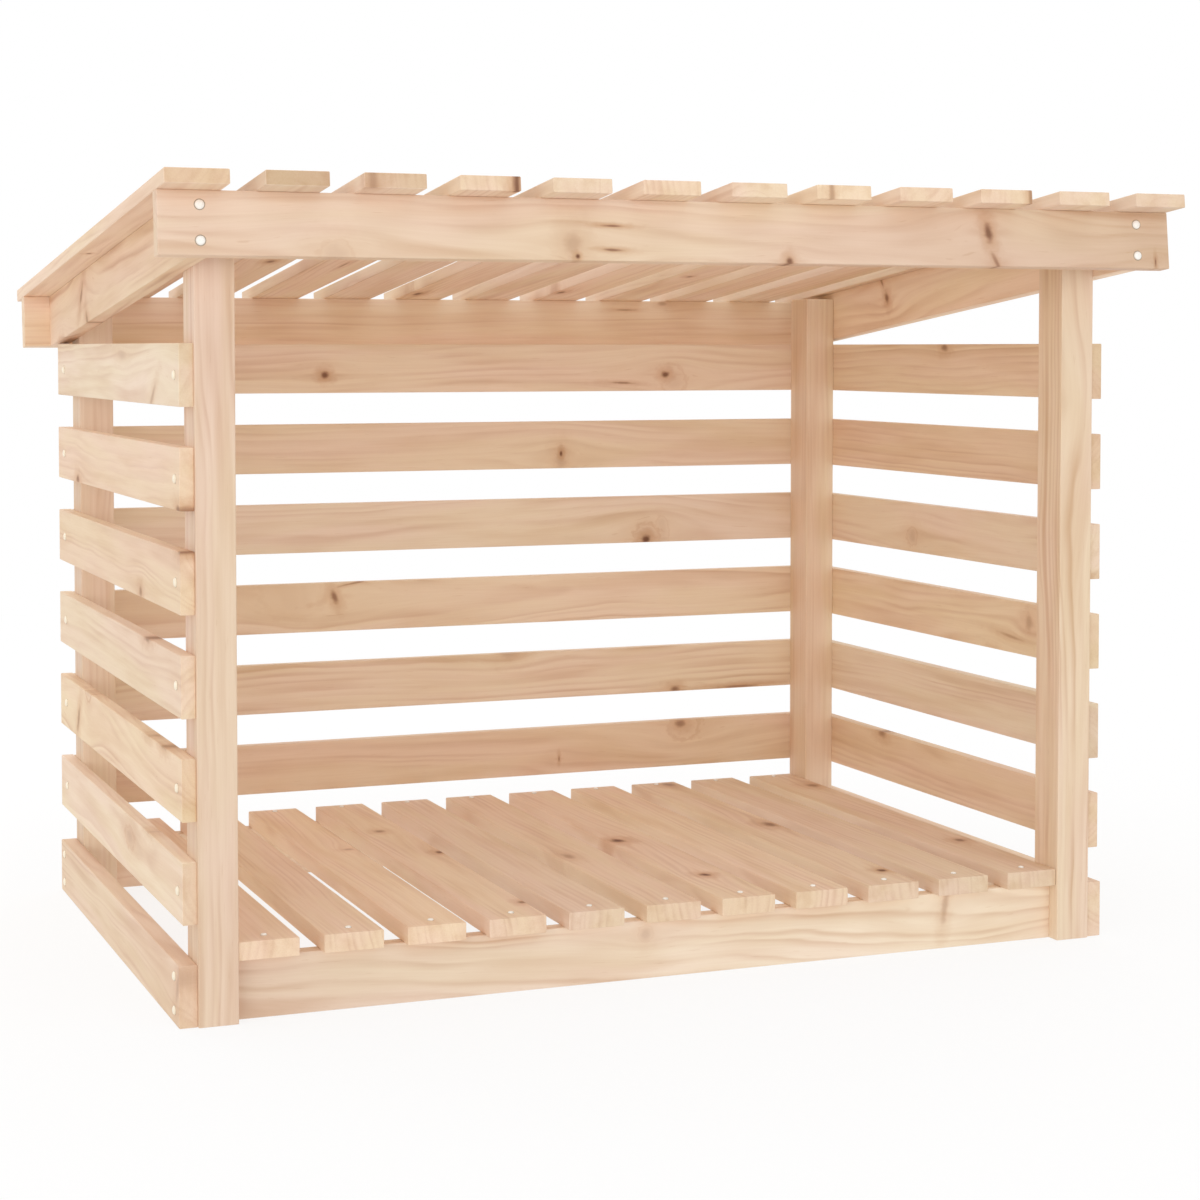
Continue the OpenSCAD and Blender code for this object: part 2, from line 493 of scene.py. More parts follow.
@dataclass(frozen=True)
class PineFinish:
    """Planed pine that follows each board's grain coordinates.

    The colours are earlywood, latewood, the rosy and the straw-coloured casts of broad
    patches, the darker streaks, the wood of a knot, a knot's dark heart and the brown
    of a dim sawn end. The taper is how fast the rings widen along the board. The two
    contrasts are how strongly the rings show on a board's faces and on its sawn ends.
    """

    slot: Slot
    early: Colour
    late: Colour
    rosy: Colour
    straw: Colour
    streak: Colour
    knot: Colour
    knot_heart: Colour
    sawn_brown: Colour
    taper: float = 0.012
    contrast: float = 0.46
    end_contrast: float = 0.26
    specular: float = 0.25

    # Cells of each noise to the metre, along, across and through the board
    RUFFLE_SCALE = (110.0, 150.0, 60.0)
    FIBRE_SCALE = (15.0, 560.0, 560.0)
    FLECK_SCALE = (42.0, 820.0, 820.0)
    CAST_SCALE = (3.0, 24.0, 24.0)
    STREAK_SCALE = (4.5, 46.0, 46.0)
    PORE_SCALE = (60.0, 1300.0, 1300.0)
    DRIFT_SCALE = (2.4, 0.0, 0.0)
    WAVE_SCALE = (6.0, 20.0, 20.0)
    PATCH_SCALE = (6.0, 30.0, 30.0)

    # Where in its noise a mark starts and ends, and how strong it is at either
    FIBRE_SPAN = (0.3, 0.7, 0.0, 0.45)
    FLECK_SPAN = (0.69, 0.8, 0.0, 0.5)
    CAST_SPAN = (0.34, 0.66, 0.0, 1.0)
    STREAK_SPAN = (0.42, 0.72, 0.0, 0.8)
    PORE_SPAN = (0.4, 0.7, 0.2, 1.0)
    PATCH_SPAN = (0.34, 0.64, 0.2, 1.15)

    # What the wood's colour is multiplied by in fibres, flecks, round knots and on sawn ends
    FIBRE_TONE = (0.94, 0.9, 0.86, 1.0)
    FLECK_TONE = (0.86, 0.77, 0.68, 1.0)
    HALO_TONE = (0.78, 0.62, 0.5, 1.0)
    SAWN_TONE = (0.97, 0.94, 0.88, 1.0)

    # Roughness of earlywood and of latewood, and the nap's relief
    ROUGHNESS = (0.66, 0.54)
    NAP_STRENGTH = 0.2
    NAP_DEPTH = 0.4 * MM

    # How far the pith drifts across and through the board, and how far the rings wander
    DRIFT_REACH = (24 * MM, 20 * MM)
    WAVE_REACH = 9 * MM
    MIDDLE_OF_NOISE = 0.5

    # Where in its year the latewood starts, is full and ends
    LATE_RISE = (0.2, 0.78)
    LATE_FALL = (0.72, 1.0)
    # How fast the width of the years changes, how much, and the weight of the faintest year
    YEAR_PACE = 0.45
    YEAR_SPREAD = 1.8
    FAINTEST_YEAR = 0.3

    # Steps of the seed that keep the boards' noises and years apart
    PLACE_STEP = 7.3
    PACE_STEP = 13.0
    YEAR_STEP = 7.0

    def material(self, knot_field: KnotField, knot_count: int) -> bpy.types.Material:
        """Builds the wood's material.

        Args:
            knot_field: The group that bends the grain round a knot.
            knot_count: The most knots that one of its boards has.

        Returns:
            The material.
        """
        made = bpy.data.materials.new(f"{self.slot.value}_with_{knot_count}_knots")
        made.use_nodes = True
        net = Net(made.node_tree)
        along, across, depth = net.split(net.attribute("grain_co").outputs["Vector"])
        pith_across, pith_depth, seed = net.split(net.attribute("pith").outputs["Vector"])
        apart = net.math("MULTIPLY_ADD", seed, self.PLACE_STEP, along)
        own = net.combine(apart, across, depth)
        bent, core, halo = self.bend(net, knot_field, knot_count, (along, across), own)
        flow = net.combine(apart, bent, depth)

        end = net.attribute("end_cut").outputs["Fac"]
        ring, bold, wave = net.split(net.attribute("ring_form").outputs["Vector"])
        pith = (pith_across, pith_depth, seed)
        figure = self.rings(net, (along, bent, depth), pith, own, (ring, wave))
        strength = net.ramp(end, 0.0, 1.0, self.contrast, self.end_contrast)
        drawn = net.math("MULTIPLY", figure, net.math("MULTIPLY", strength, bold))
        fibre = net.noise(flow, self.FIBRE_SCALE, detail=3.0, rough=0.6)
        fleck = net.noise(flow, self.FLECK_SCALE, detail=1.0)
        broad = net.noise(flow, self.CAST_SCALE)
        streak = net.noise(flow, self.STREAK_SCALE, rough=0.6)

        wood = net.blend(drawn, self.early, self.late)
        cast = net.blend(net.ramp(broad, *self.CAST_SPAN), self.straw, self.rosy)
        wood = net.blend(1.0, wood, cast, "MULTIPLY")
        wood = net.blend(net.ramp(streak, *self.STREAK_SPAN), wood, self.streak, "MULTIPLY")
        wood = net.blend(net.ramp(fibre, *self.FIBRE_SPAN), wood, self.FIBRE_TONE, "MULTIPLY")
        wood = net.blend(net.ramp(fleck, *self.FLECK_SPAN), wood, self.FLECK_TONE, "MULTIPLY")
        if knot_count:
            wood = net.blend(halo, wood, self.HALO_TONE, "MULTIPLY")
            wood = net.blend(core, wood, net.blend(core, self.knot, self.knot_heart))
        pore = net.noise(own, self.PORE_SCALE, detail=1.0)
        sawn = net.math("MULTIPLY", end, net.ramp(pore, *self.PORE_SPAN))
        wood = net.blend(sawn, wood, self.SAWN_TONE, "MULTIPLY")
        tint = net.attribute("tint").outputs
        wood = net.blend(net.math("MULTIPLY", end, tint["Alpha"]), wood, self.sawn_brown, "MULTIPLY")
        wood = net.blend(1.0, wood, tint["Color"], "MULTIPLY")

        rough = net.ramp(figure, 0.0, 1.0, *self.ROUGHNESS)
        nap = net.noise(own, self.FIBRE_SCALE, rough=0.6)
        relief = net.node(
            "ShaderNodeBump",
            {"Strength": self.NAP_STRENGTH, "Distance": self.NAP_DEPTH, "Height": nap},
        )
        shader = net.node(
            "ShaderNodeBsdfPrincipled",
            {
                "Base Color": wood,
                "Roughness": rough,
                "Normal": relief.outputs["Normal"],
                "Specular IOR Level": self.specular,
            },
        )
        net.node("ShaderNodeOutputMaterial", {"Surface": shader.outputs["BSDF"]})
        return made

    def bend(
        self,
        net: Net,
        knot_field: KnotField,
        knot_count: int,
        place: tuple[Socket, Socket],
        own: Socket,
    ) -> tuple[Feed, Feed, Feed]:
        """Bends the grain round each knot in turn.

        Args:
            net: The material's nodes.
            knot_field: The group that bends the grain round a knot.
            knot_count: The number of knots.
            place: Along and across the board.
            own: The board's own place in the noise.

        Returns:
            The place across the bent grain, and how much knot and how much halo there is.
        """
        along, bent = place
        ruffle = net.noise(own, self.RUFFLE_SCALE)
        core: Feed = 0.0
        halo: Feed = 0.0
        for number in range(1, knot_count + 1):
            form = net.attribute(f"knot_form_{number}").outputs
            group = net.node(
                "ShaderNodeGroup",
                {
                    "Along": along,
                    "Across": bent,
                    "Knot": net.attribute(f"knot_{number}").outputs["Vector"],
                    "Form": form["Color"],
                    "Rim": form["Alpha"],
                    "Ruffle": ruffle,
                },
                node_tree=knot_field.tree,
            )
            bent = group.outputs["Across"]
            core = net.math("MAXIMUM", core, group.outputs["Core"])
            halo = net.math("MAXIMUM", halo, group.outputs["Halo"])
        return bent, core, halo

    def rings(
        self,
        net: Net,
        place: tuple[Socket, ...],
        pith: tuple[Socket, ...],
        own: Socket,
        form: tuple[Socket, ...],
    ) -> Socket:
        """Draws the growth rings.

        Args:
            net: The material's nodes.
            place: Along, across and through the board.
            pith: The pith's place across and through it, and the board's seed.
            own: The board's own place in the noise.
            form: Width of a ring and how far the rings wander.

        Returns:
            How much latewood there is, from 0 to a little over 1.
        """
        along, across, depth = place
        pith_across, pith_depth, seed = pith
        ring, wander = form
        sways = net.split(net.noise(own, self.DRIFT_SCALE, detail=1.0, output="Color"))
        places = (across, depth)
        piths = (pith_across, pith_depth)
        offsets = []
        for reach, noise, there, heart in zip(self.DRIFT_REACH, sways, places, piths):
            sway = net.math("SUBTRACT", noise, self.MIDDLE_OF_NOISE)
            offsets.append(net.math("MULTIPLY_ADD", sway, reach, net.math("SUBTRACT", there, heart)))
        radial = net.length(net.combine(offsets[0], offsets[1], 0.0))

        wave = net.noise(own, self.WAVE_SCALE)
        swing = net.math("MULTIPLY", wander, self.WAVE_REACH)
        swung = net.math("SUBTRACT", wave, self.MIDDLE_OF_NOISE)
        waved = net.math("MULTIPLY_ADD", swung, swing, radial)
        grown = net.math("MULTIPLY_ADD", along, self.taper, waved)
        years = net.math("DIVIDE", grown, ring)
        pace = net.math("MULTIPLY", years, self.YEAR_PACE)
        moment = net.math("MULTIPLY_ADD", seed, self.PACE_STEP, pace)
        feeds = {"W": moment, "Scale": 1.0, "Detail": 1.0}
        lean = net.node("ShaderNodeTexNoise", feeds, noise_dimensions="1D").outputs["Fac"]
        uneven = net.math("MULTIPLY_ADD", lean, self.YEAR_SPREAD, years)
        part = net.math("FRACT", uneven)
        year = net.math("MULTIPLY_ADD", seed, self.YEAR_STEP, net.math("FLOOR", uneven))
        dice = net.node("ShaderNodeTexWhiteNoise", {"W": year}, noise_dimensions="1D")
        spread = 1.0 - self.FAINTEST_YEAR
        weight = net.math("MULTIPLY_ADD", dice.outputs["Value"], spread, self.FAINTEST_YEAR)
        rise = net.ramp(part, *self.LATE_RISE)
        late = net.math("MULTIPLY", rise, net.ramp(part, *self.LATE_FALL, 1.0, 0.0))
        patch = net.noise(own, self.PATCH_SCALE, detail=1.0)
        kept = net.ramp(patch, *self.PATCH_SPAN)
        return net.math("MULTIPLY", net.math("MULTIPLY", late, weight), kept)


@dataclass(frozen=True)
class CapFinish:
    """The finish of the caps and of the painted shadow round them, with a faint mottle between two
    tones.
    """

    name: str
    pale: Colour
    dull: Colour
    roughness: float

    MOTTLE_SCALE = (900.0, 900.0, 900.0)
    MOTTLE_SPAN = (0.35, 0.75)
    MOTTLE_STRENGTH = 0.1
    MOTTLE_DEPTH = 0.1 * MM

    def material(self) -> bpy.types.Material:
        """Builds the caps' material.

        Returns:
            The material.
        """
        made = bpy.data.materials.new(self.name)
        made.use_nodes = True
        net = Net(made.node_tree)
        place = net.node("ShaderNodeTexCoord").outputs["Object"]
        mottle = net.noise(place, self.MOTTLE_SCALE)
        colour = net.blend(net.ramp(mottle, *self.MOTTLE_SPAN), self.pale, self.dull)
        relief = net.node(
            "ShaderNodeBump",
            {"Strength": self.MOTTLE_STRENGTH, "Distance": self.MOTTLE_DEPTH, "Height": mottle},
        )
        shader = net.node(
            "ShaderNodeBsdfPrincipled",
            {"Base Color": colour, "Roughness": self.roughness, "Normal": relief.outputs["Normal"]},
        )
        net.node("ShaderNodeOutputMaterial", {"Surface": shader.outputs["BSDF"]})
        return made


class RowTree:
    """A Geometry Nodes tree with named inputs, run once for each piece."""

    def __init__(self, name: str, inputs: dict[str, str]) -> None:
        """Starts the tree.

        Args:
            name: The tree's name.
            inputs: Its inputs' names and kinds, in order.
        """
        self.tree = bpy.data.node_groups.new(name, "GeometryNodeTree")
        self.net = Net(self.tree)
        self.sockets: dict[str, str] = {}
        face = self.tree.interface
        for label, kind in inputs.items():
            socket = face.new_socket(label, in_out="INPUT", socket_type=f"NodeSocket{kind}")
            self.sockets[label] = socket.identifier
        face.new_socket("Geometry", in_out="OUTPUT", socket_type="NodeSocketGeometry")
        self.given = self.net.node("NodeGroupInput").outputs

    def keep(self, geometry: Socket, name: str, value: Feed, kind: str, domain: str) -> Socket:
        """Stores a named attribute.

        Args:
            geometry: What it is stored on.
            name: Its name.
            value: Its value.
            kind: Blender's name for its data type.
            domain: Blender's name for what carries it.

        Returns:
            The geometry with the attribute.
        """
        feeds = {"Geometry": geometry, "Name": name, "Value": value}
        made = self.net.node("GeometryNodeStoreNamedAttribute", feeds, data_type=kind, domain=domain)
        return made.outputs[0]

    def run(self, name: str, values: dict[str, object]) -> bpy.types.Object:
        """Makes one piece as a plain mesh.

        Args:
            name: The piece's name.
            values: The tree's inputs by name.

        Returns:
            The piece, at the origin, with no modifier left.
        """
        piece = bpy.data.objects.new(name, bpy.data.meshes.new(f"{name}_start"))
        bpy.context.scene.collection.objects.link(piece)
        modifier = piece.modifiers.new("rows", "NODES")
        modifier.node_group = self.tree
        for label, value in values.items():
            modifier[self.sockets[label]] = value
        graph = bpy.context.evaluated_depsgraph_get()
        grown = piece.evaluated_get(graph)
        mesh = bpy.data.meshes.new_from_object(grown, preserve_all_data_layers=True, depsgraph=graph)
        piece.modifiers.remove(modifier)
        start = piece.data
        mesh.name = name
        piece.data = mesh
        bpy.data.meshes.remove(start)
        return piece


class BoardTree(RowTree):
    """Grows a row of planed boards, with eased edges and grain coordinates."""

    EASE_STEPS = 3
    # Points closer than this are merged
    WELD = 0.01 * MM
    # A face that looks along the board by more than this is a sawn end
    END_FACING = 0.9

    def __init__(self) -> None:
        """Builds the tree."""
        super().__init__(
            "planed_board_row",
            {
                "Length": "Float",
                "Width": "Float",
                "Thickness": "Float",
                "Ease": "Float",
                "End Ease": "Float",
                "Count": "Int",
                "First": "Vector",
                "Pitch": "Vector",
                "Turn": "Vector",
                "Pine": "Material",
            },
        )
        board = self.grain(self.half_boards())
        net, given = self.net, self.given
        points = net.node(
            "GeometryNodeMeshLine",
            {"Count": given["Count"], "Start Location": given["First"], "Offset": given["Pitch"]},
        )
        turn = net.node("FunctionNodeEulerToRotation", {0: given["Turn"]})
        row = net.node(
            "GeometryNodeInstanceOnPoints",
            {"Points": points.outputs[0], "Instance": board, "Rotation": turn.outputs[0]},
        )
        index = net.node("GeometryNodeInputIndex")
        marked = self.keep(row.outputs[0], "board_index", index.outputs[0], "INT", "INSTANCE")
        real = net.node("GeometryNodeRealizeInstances", {0: marked})
        dressed = net.node(
            "GeometryNodeSetMaterial", {"Geometry": real.outputs[0], "Material": given["Pine"]}
        )
        net.node("NodeGroupOutput", {0: dressed.outputs[0]})

    def half_boards(self) -> Socket:
        """Grows a board's eased section both ways from its middle and joins the halves.

        Returns:
            The board, upright, with its width in X and its thickness in Y.
        """
        net, given = self.net, self.given
        outline = net.node(
            "GeometryNodeCurvePrimitiveQuadrilateral",
            {"Width": given["Width"], "Height": given["Thickness"]},
        )
        eased = net.node(
            "GeometryNodeFilletCurve",
            {"Curve": outline.outputs[0], "Count": self.EASE_STEPS, "Radius": given["Ease"]},
            mode="POLY",
        )
        section = net.node("GeometryNodeFillCurve", {"Curve": eased.outputs[0]}, mode="NGONS")
        half = net.math("MULTIPLY", given["Length"], 0.5)
        body = net.math("SUBTRACT", half, given["End Ease"])
        grown = net.node(
            "GeometryNodeExtrudeMesh",
            {
                "Mesh": section.outputs[0],
                "Offset": net.combine(0.0, 0.0, body),
                "Offset Scale": 1.0,
                "Individual": False,
            },
        )
        tip = net.node(
            "GeometryNodeExtrudeMesh",
            {
                "Mesh": grown.outputs["Mesh"],
                "Selection": grown.outputs["Top"],
                "Offset": net.combine(0.0, 0.0, given["End Ease"]),
                "Offset Scale": 1.0,
                "Individual": False,
            },
        )
        twice = net.math("MULTIPLY", given["End Ease"], 2.0)
        narrow = net.math("DIVIDE", net.math("SUBTRACT", given["Width"], twice), given["Width"])
        thin = net.math("DIVIDE", net.math("SUBTRACT", given["Thickness"], twice), given["Thickness"])
        place = net.node("GeometryNodeInputPosition").outputs[0]
        inset = net.node(
            "GeometryNodeSetPosition",
            {
                "Geometry": tip.outputs["Mesh"],
                "Selection": tip.outputs["Top"],
                "Position": net.vector("MULTIPLY", place, net.combine(narrow, thin, 1.0)),
            },
        )
        other = net.node(
            "GeometryNodeTransform", {"Geometry": inset.outputs[0], "Scale": (1.0, 1.0, -1.0)}
        )
        flipped = net.node("GeometryNodeFlipFaces", {"Mesh": other.outputs[0]})
        both = net.node("GeometryNodeJoinGeometry")
        net.feed(both.inputs[0], inset.outputs[0])
        net.feed(both.inputs[0], flipped.outputs[0])
        whole = net.node(
            "GeometryNodeMergeByDistance", {"Geometry": both.outputs[0], "Distance": self.WELD}
        )
        return whole.outputs[0]

    def grain(self, board: Socket) -> Socket:
        """Stores where each point lies in the board and which faces are sawn ends.

        Args:
            board: The upright board.

        Returns:
            The board with its grain coordinates.
        """
        net = self.net
        x, y, z = net.split(net.node("GeometryNodeInputPosition").outputs[0])
        kept = self.keep(board, "grain_co", net.combine(z, x, y), "FLOAT_VECTOR", "POINT")
        facing = net.split(net.node("GeometryNodeInputNormal").outputs["Normal"])[2]
        sawn = net.math("GREATER_THAN", net.math("ABSOLUTE", facing), self.END_FACING)
        return self.keep(kept, "end_cut", sawn, "FLOAT", "FACE")


class CapTree(RowTree):
    """Sets a grid of domed screw caps on a face, each in a seat of painted shadow."""

    SEGMENTS = 20
    RINGS = 9
    # Power that squares a button's shoulders, 1 for a plain dome
    CAP_FULLNESS = 0.74
    SEAT_FULLNESS = 1.0
    # The least distance from its axis that the power is taken of
    LEAST_OUT = 0.001

    def __init__(self) -> None:
        """Builds the tree."""
        super().__init__(
            "screw_cap_rows",
            {
                "Radius": "Float",
                "Rise": "Float",
                "Seat Radius": "Float",
                "Seat Rise": "Float",
                "First": "Vector",
                "Columns": "Int",
                "Column Step": "Vector",
                "Rows": "Int",
                "Row Step": "Vector",
                "Facing": "Vector",
                "Cap": "Material",
                "Seat": "Material",
            },
        )
        net, given = self.net, self.given
        columns = net.node(
            "GeometryNodeMeshLine",
            {
                "Count": given["Columns"],
                "Start Location": given["First"],
                "Offset": given["Column Step"],
            },
        )
        rows = net.node(
            "GeometryNodeMeshLine", {"Count": given["Rows"], "Offset": given["Row Step"]}
        )
        grid = net.node(
            "GeometryNodeInstanceOnPoints", {"Points": columns.outputs[0], "Instance": rows.outputs[0]}
        )
        points = net.node("GeometryNodeRealizeInstances", {0: grid.outputs[0]}).outputs[0]
        turn = net.node("FunctionNodeAlignRotationToVector", {"Vector": given["Facing"]}, axis="Z")
        cap = self.dome(given["Radius"], given["Rise"], self.CAP_FULLNESS)
        # The seat is a flat dark disc of painted shadow round each cap
        seat = self.dome(given["Seat Radius"], given["Seat Rise"], self.SEAT_FULLNESS)
        both = net.node("GeometryNodeJoinGeometry")
        for shape, seat_shadow_mark in ((cap, 0.0), (seat, 1.0)):
            marked = self.keep(shape, "seat_face", seat_shadow_mark, "FLOAT", "FACE")
            placed = net.node(
                "GeometryNodeInstanceOnPoints",
                {"Points": points, "Instance": marked, "Rotation": turn.outputs[0]},
            )
            net.feed(both.inputs[0], placed.outputs[0])
        real = net.node("GeometryNodeRealizeInstances", {0: both.outputs[0]})
        capped = net.node(
            "GeometryNodeSetMaterial", {"Geometry": real.outputs[0], "Material": given["Cap"]}
        )
        seat_face = net.node(
            "GeometryNodeInputNamedAttribute", {"Name": "seat_face"}, data_type="FLOAT"
        )
        on_seat_shadow = net.math("GREATER_THAN", seat_face.outputs["Attribute"], 0.5)
        dressed = net.node(
            "GeometryNodeSetMaterial",
            {"Geometry": capped.outputs[0], "Selection": on_seat_shadow, "Material": given["Seat"]},
        )
        net.node("NodeGroupOutput", {0: dressed.outputs[0]})

    def dome(self, radius: Feed, rise: Feed, fullness: float) -> Socket:
        """Shapes a round button whose shoulders are fuller than a ball's.

        Args:
            radius: Radius of the button.
            rise: Height of the button above its face.
            fullness: Power that squares its shoulders, 1 for a plain dome.

        Returns:
            The button, with its face in the XY plane.
        """
        net = self.net
        ball = net.node(
            "GeometryNodeMeshUVSphere", {"Segments": self.SEGMENTS, "Rings": self.RINGS, "Radius": 1.0}
        )
        x, y, z = net.split(net.node("GeometryNodeInputPosition").outputs[0])
        out = net.length(net.combine(x, y, 0.0))
        widened = net.math("POWER", net.math("MAXIMUM", out, self.LEAST_OUT), fullness - 1.0)
        spread = net.math("MULTIPLY", widened, radius)
        high = net.math("POWER", net.math("ABSOLUTE", z), fullness)
        signed = net.math("MULTIPLY", high, net.math("SIGN", z))
        place = net.combine(
            net.math("MULTIPLY", x, spread),
            net.math("MULTIPLY", y, spread),
            net.math("MULTIPLY", signed, rise),
        )
        shaped = net.node("GeometryNodeSetPosition", {"Geometry": ball.outputs[0], "Position": place})
        smooth = net.node("GeometryNodeSetShadeSmooth", {"Geometry": shaped.outputs[0]})
        return smooth.outputs[0]


class CapTone(Enum):
    """The colours that a screw cap comes in."""

    WHITE = "white"
    CREAM = "cream"


@dataclass(frozen=True)
class CapSize:
    """Sizes of a screw cap and of the painted-shadow seat round it, and the cap's colour."""

    radius: float
    rise: float
    seat_radius: float
    tone: CapTone = CapTone.WHITE
    seat_rise: float = 0.12 * MM


BEAM_CAP = CapSize(radius=4.5 * MM, rise=2.2 * MM, seat_radius=5.4 * MM)
WALL_CAP = CapSize(radius=4.4 * MM, rise=2.2 * MM, seat_radius=4.9 * MM, tone=CapTone.CREAM)
FLOOR_CAP = CapSize(radius=3.0 * MM, rise=1.6 * MM, seat_radius=3.4 * MM)


class Workshop:
    """The trees and finishes that every sub-assembly uses."""

    # Range of the pith's distance as a share of its cut's, and range of the boards' seeds
    PITH_STRAY = (0.85, 1.2)
    SEEDS = (1.0, 9.0)

    def __init__(self) -> None:
        """Builds the trees and the finishes."""
        self.boards = BoardTree()
        self.caps = CapTree()
        self.knot_field = KnotField()
        common = {
            "rosy": on_screen(255, 244, 239),
            "straw": on_screen(254, 247, 235),
            "streak": on_screen(244, 237, 229),
            "knot": on_screen(180, 124, 88),
            "knot_heart": on_screen(106, 64, 44),
            "sawn_brown": on_screen(231, 221, 209),
        }
        frame_pine = PineFinish(
            Slot.FRAME, early=on_screen(241, 224, 205), late=on_screen(206, 166, 132), **common
        )
        floor_pine = PineFinish(
            Slot.FLOOR,
            early=on_screen(242, 225, 206),
            late=on_screen(208, 170, 137),
            end_contrast=0.42,
            **common,
        )
        finishes = (frame_pine, replace(frame_pine, slot=Slot.SLATS), floor_pine)
        self.finishes = {finish.slot: finish for finish in finishes}
        self.pine: dict[tuple[Slot, int], bpy.types.Material] = {}
        # The seat's colour is the painted shadow of the gap round each cap
        self.seat = CapFinish(
            "cap_seat_shadow",
            pale=on_screen(178, 160, 140),
            dull=on_screen(152, 134, 115),
            roughness=0.8,
        ).material()
        white = CapFinish(
            "cap_off_white",
            pale=on_screen(255, 252, 246),
            dull=on_screen(247, 242, 232),
            roughness=0.34,
        )
        cream = replace(
            white, name="cap_cream", pale=on_screen(255, 244, 222), dull=on_screen(247, 233, 207)
        )
        self.cap = {CapTone.WHITE: white.material(), CapTone.CREAM: cream.material()}

    def planed(self, slot: Slot, grains: Sequence[Grain]) -> bpy.types.Material:
        """Gives a slot's pine with room for the most knots that one of the boards has.

        Args:
            slot: The material slot.
            grains: Each board's own figure.

        Returns:
            The material, shared by the pieces that need as many knots.
        """
        most = max(len(grain.knots) for grain in grains)
        if (slot, most) not in self.pine:
            self.pine[slot, most] = self.finishes[slot].material(self.knot_field, most)
        return self.pine[slot, most]

    def grow(
        self,
        name: str,
        nodes: Sequence[str],
        lay: Lay,
        slot: Slot,
        section: tuple[float, float],
        grains: Sequence[Grain],
        first: Optional[Vector] = None,
        pitch: Optional[Vector] = None,
        length: Optional[float] = None,
    ) -> None:
        """Makes a row of boards as one piece that stands for its CAD nodes.

        Args:
            name: The piece's name.
            nodes: The CAD nodes that it stands for, in the row's order.
            lay: How the boards lie.
            slot: The material slot of its pine.
            section: Width and thickness of a board.
            grains: Each board's own figure, in order.
            first: Middle of the first board, where it isn't the first node's.
            pitch: Step from board to board, where it isn't from node to node.
            length: Length of a board, where it isn't the first node's.
        """
        start = middle(nodes[0]) if first is None else first
        if pitch is None:
            last = middle(nodes[-1])
            pitch = (last - start) / max(len(nodes) - 1, 1)
        piece = self.boards.run(
            name,
            {
                "Length": lay.length(nodes[0]) if length is None else length,
                "Width": section[0],
                "Thickness": section[1],
                "Ease": EASE,
                "End Ease": END_EASE,
                "Count": len(grains),
                "First": tuple(start),
                "Pitch": tuple(pitch),
                "Turn": tuple(lay.turn()),
                "Pine": self.planed(slot, grains),
            },
        )
        self.figure(piece, grains)
        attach(piece, BODY)
        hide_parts(*nodes)
        LOG.info("made %s", name)

    def figure(self, piece: bpy.types.Object, grains: Sequence[Grain]) -> None:
        """Writes each board's own figure on its points.

        Args:
            piece: The row of boards.
            grains: Each board's own figure, in order.
        """
        mesh = piece.data
        count = len(mesh.vertices)
        index = np.zeros(count, np.int32)
        mesh.attributes["board_index"].data.foreach_get("value", index)
        most = max(len(grain.knots) for grain in grains)
        rows: dict[str, list[tuple[float, ...]]] = {"pith": [], "tint": [], "ring_form": []}
        for number in range(1, most + 1):
            rows[f"knot_{number}"] = []
            rows[f"knot_form_{number}"] = []
        for place, grain in enumerate(grains):
            draw = random.Random(f"{piece.name} {place}")
            pith_across = grain.cut.value[0] * grain.hand[0] * draw.uniform(*self.PITH_STRAY)
            pith_depth = grain.cut.value[1] * grain.hand[1] * draw.uniform(*self.PITH_STRAY)
            rows["pith"].append((pith_across * MM, pith_depth * MM, draw.uniform(*self.SEEDS)))
            rows["tint"].append((*grain.tint, grain.dim))
            rows["ring_form"].append((grain.ring * MM, grain.bold, grain.wave))
            spare = [Knot(0.0, 0.0, 0.0, shade=0.0)] * most
            for number, knot in enumerate([*grain.knots, *spare][:most], 1):
                rows[f"knot_{number}"].append((knot.along * MM, knot.across * MM, knot.radius * MM))
                form = (knot.stretch, knot.lean, knot.shade, knot.rim)
                rows[f"knot_form_{number}"].append(form)
        for label, values in rows.items():
            table = np.array(values, np.float32)[index]
            # The tint carries the painted light and shade along each board, warmer where it is darker
            if label == "tint":
                table[:, :3] *= self.fade(mesh, grains, index)[:, None] ** PAINTED_END_SHADE_POWERS
            four = table.shape[1] == 4
            stored = mesh.attributes.new(label, "FLOAT_COLOR" if four else "FLOAT_VECTOR", "POINT")
            stored.data.foreach_set("color" if four else "vector", table.ravel())
        mesh.attributes.remove(mesh.attributes["board_index"])

    def fade(self, mesh: bpy.types.Mesh, grains: Sequence[Grain], index: np.ndarray) -> np.ndarray:
        """Works out the painted light and shade of each point between its board's middle and ends.

        Args:
            mesh: The row of boards.
            grains: Each board's own figure, in order.
            index: The board that each point belongs to.

        Returns:
            One share for each point, 1 in the middle of a board.
        """
        place = np.zeros(len(index) * 3, np.float32)
        mesh.attributes["grain_co"].data.foreach_get("vector", place)
        along = place[0::3] / np.abs(place[0::3]).max()
        ends = np.array([grain.fade for grain in grains], np.float32)[index]
        nearer = np.where(along < 0.0, ends[:, 0], ends[:, 1])
        return 1.0 + (nearer - 1.0) * np.abs(along)

    def fasten(
        self,
        name: str,
        first: Vector,
        columns: tuple[int, Vector],
        rows: tuple[int, Vector],
        facing: Vector,
        size: CapSize,
    ) -> None:
        """Sets a grid of screw caps on a face.

        Args:
            name: The piece's name.
            first: Place of the first cap on the face.
            columns: Number of columns, and the step between them.
            rows: Number of caps in a column, and the step between them.
            facing: Direction out of the face.
            size: The caps' size.
        """
        piece = self.caps.run(
            name,
            {
                "Radius": size.radius,
                "Rise": size.rise,
                "Seat Radius": size.seat_radius,
                "Seat Rise": size.seat_rise,
                "First": tuple(first),
                "Columns": columns[0],
                "Column Step": tuple(columns[1]),
                "Rows": rows[0],
                "Row Step": tuple(rows[1]),
                "Facing": tuple(facing),
                "Cap": self.cap[size.tone],
                "Seat": self.seat,
            },
        )
        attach(piece, BODY)
        LOG.info("made %s", name)


